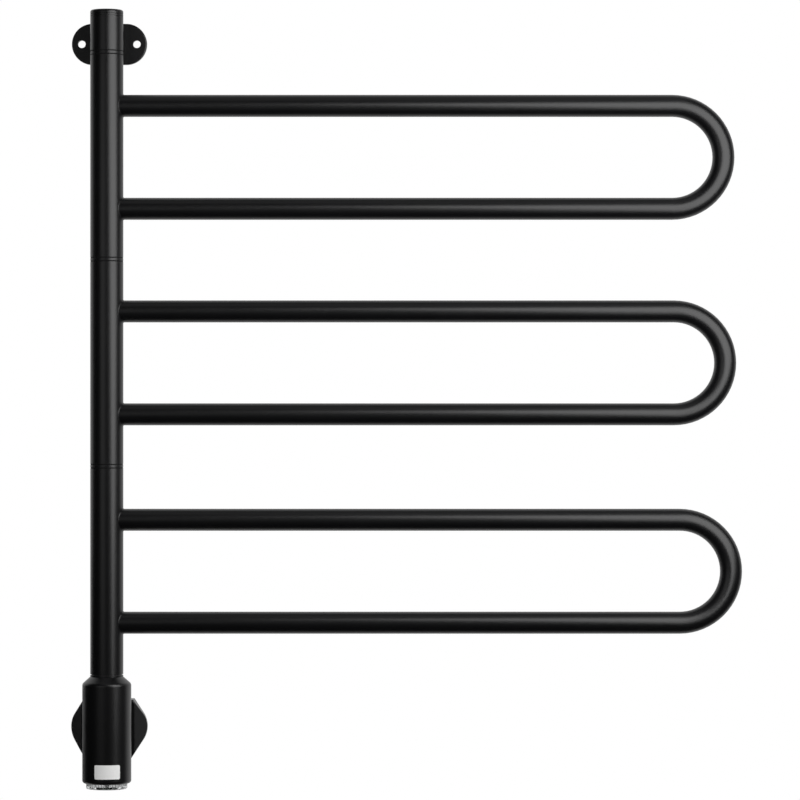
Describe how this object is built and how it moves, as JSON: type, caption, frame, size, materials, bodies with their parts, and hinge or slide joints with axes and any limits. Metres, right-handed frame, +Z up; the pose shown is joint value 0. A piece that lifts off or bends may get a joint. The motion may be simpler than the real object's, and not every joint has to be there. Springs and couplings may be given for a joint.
{
  "type": "heated swivel towel rail",
  "caption": "Wall-mounted heated towel rail: a column with swivelling U-shaped tube loops stacked above a cylindrical control housing with a push button.",
  "frame": {"origin": "middle of the upper wall plate's back face, halfway between its two screw holes", "axes": "+Z up along the column, +Y into the wall, +X along the loops at rest"},
  "size_m": [0.6114, 0.0578, 0.7064],
  "materials": {
    "powder_coat": "satin powder coat",
    "bare_steel": "zinc plated",
    "acetal": "turned acetal",
    "brushed_plate": "brushed",
    "clear_button": "clear moulded polycarbonate",
    "silicone": "silicone",
    "circuit_board": "glass epoxy",
    "pale_plastic": "moulded",
    "dark_plastic": "moulded",
    "light": "clear epoxy"
  },
  "bodies": {
    "fixed_frame": {"upper_wall_plate": "powder_coat", "upper_standoff": "powder_coat", "standoff_screw": "bare_steel", "top_section": "powder_coat", "top_cap": "powder_coat", "top_plug": "bare_steel", "mast_nut": "bare_steel", "mast_tube": "bare_steel", "window_grommets": "silicone", "mast_loom": "silicone", "shoulder_washer": "acetal", "stop_ring_screws": "bare_steel", "control_housing": "powder_coat", "mast_foot": "bare_steel", "mast_lock_screws": "bare_steel", "housing_screws": "bare_steel", "lower_wall_plate": "powder_coat", "boss_lock_screw": "bare_steel", "inlet_boss": "powder_coat", "control_chassis": "dark_plastic", "timer_board": "circuit_board", "relay": "dark_plastic", "board_screws": "bare_steel", "terminal_block": "pale_plastic", "button_board": "circuit_board", "tactile_switch": "dark_plastic", "indicator_lights": "light", "button_carrier": "dark_plastic", "button_spring": "bare_steel", "bare_plate": "brushed_plate", "thrust_ring_upper": "powder_coat", "stop_ring_upper": "bare_steel", "thrust_ring_middle": "powder_coat", "stop_ring_middle": "bare_steel", "thrust_ring_lower": "powder_coat", "stop_ring_lower": "bare_steel"},
    "upper_loop": {"upper_loop_sleeve": "powder_coat", "upper_loop_tube": "powder_coat", "upper_loop_upper_bush": "acetal", "upper_loop_lower_bush": "acetal", "upper_heating_cable": "silicone", "upper_cable_grommets": "silicone", "upper_lead_tail": "silicone"},
    "middle_loop": {"middle_loop_sleeve": "powder_coat", "middle_loop_tube": "powder_coat", "middle_loop_upper_bush": "acetal", "middle_loop_lower_bush": "acetal", "middle_heating_cable": "silicone", "middle_cable_grommets": "silicone", "middle_lead_tail": "silicone"},
    "lower_loop": {"lower_loop_sleeve": "powder_coat", "lower_loop_tube": "powder_coat", "lower_loop_upper_bush": "acetal", "lower_loop_lower_bush": "acetal", "lower_heating_cable": "silicone", "lower_cable_grommets": "silicone", "lower_lead_tail": "silicone"},
    "button": {"control_button": "clear_button"}
  },
  "joints": [
    {"name": "upper_loop_swing", "type": "hinge", "parent": "fixed_frame", "child": "upper_loop", "pos_m": [0, -0.035, -0.1055], "axis": [0, 0, -1], "range_deg": [0, 180]},
    {"name": "middle_loop_swing", "type": "hinge", "parent": "fixed_frame", "child": "middle_loop", "pos_m": [0, -0.035, -0.292], "axis": [0, 0, -1], "range_deg": [0, 180]},
    {"name": "lower_loop_swing", "type": "hinge", "parent": "fixed_frame", "child": "lower_loop", "pos_m": [0, -0.035, -0.4811], "axis": [0, 0, -1], "range_deg": [0, 180]},
    {"name": "button_push", "type": "slide", "parent": "fixed_frame", "child": "button", "axis": [0, 0, 1], "range_m": [0, 0.0012], "stiffness_N_per_m": 500, "springref_m": -0.002, "deforming": ["button_spring"]}
  ]
}
